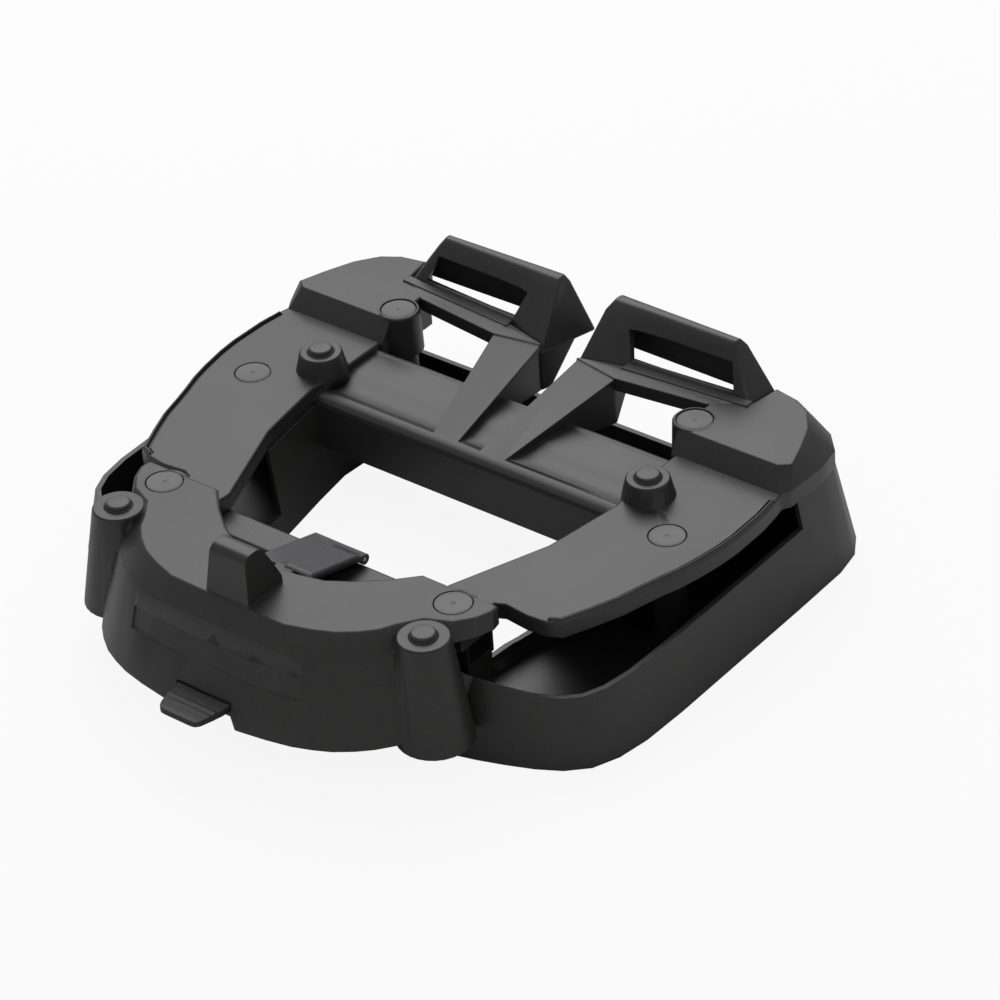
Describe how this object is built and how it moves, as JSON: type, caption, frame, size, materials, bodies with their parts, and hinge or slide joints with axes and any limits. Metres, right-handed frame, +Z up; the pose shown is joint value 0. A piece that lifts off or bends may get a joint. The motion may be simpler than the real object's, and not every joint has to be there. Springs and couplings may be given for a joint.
{
  "type": "top case mounting plate",
  "caption": "Black moulded plate with two rear hooks, a raised nose with a catch block, rubber-topped studs, a hinged strap and side openings, for carrying a motorbike's top case.",
  "frame": {"origin": "middle of the outline's width and length, on the face that the plate rests on", "axes": "+Z up, +Y towards the hooks, +X to the right seen from the nose"},
  "size_m": [0.348, 0.347, 0.0993],
  "materials": {
    "base": "satin grained",
    "cover": "satin grained",
    "cap": "smooth",
    "screw": "zinc plated",
    "buffer": "matte",
    "strap": "satin",
    "pin": "turned",
    "tab": "satin grained"
  },
  "bodies": {
    "plate": {"base_shell": "base", "deck_cover": "cover", "strap_pin": "pin", "arm_cap_left": "cap", "arm_screw_left": "screw", "arm_cap_right": "cap", "arm_screw_right": "screw", "deck_cap_left": "cap", "deck_screw_left": "screw", "deck_cap_right": "cap", "deck_screw_right": "screw", "nose_cap_left": "cap", "nose_screw_left": "screw", "nose_cap_right": "cap", "nose_screw_right": "screw", "nose_buffer_left": "buffer", "nose_buffer_right": "buffer", "stud_buffer_left": "buffer", "stud_buffer_right": "buffer"},
    "strap": {"retaining_strap": "strap"},
    "tab": {"release_tab": "tab"}
  },
  "joints": [
    {"name": "strap_hinge", "type": "hinge", "parent": "plate", "child": "strap", "pos_m": [0, -0.0485, 0.0548], "axis": [-1, 0, 0], "range_deg": [0, 95]},
    {"name": "tab_slide", "type": "slide", "parent": "plate", "child": "tab", "axis": [0, 1, 0], "range_m": [0, 0.006], "stiffness_N_per_m": 400, "springref_m": -0.003}
  ]
}
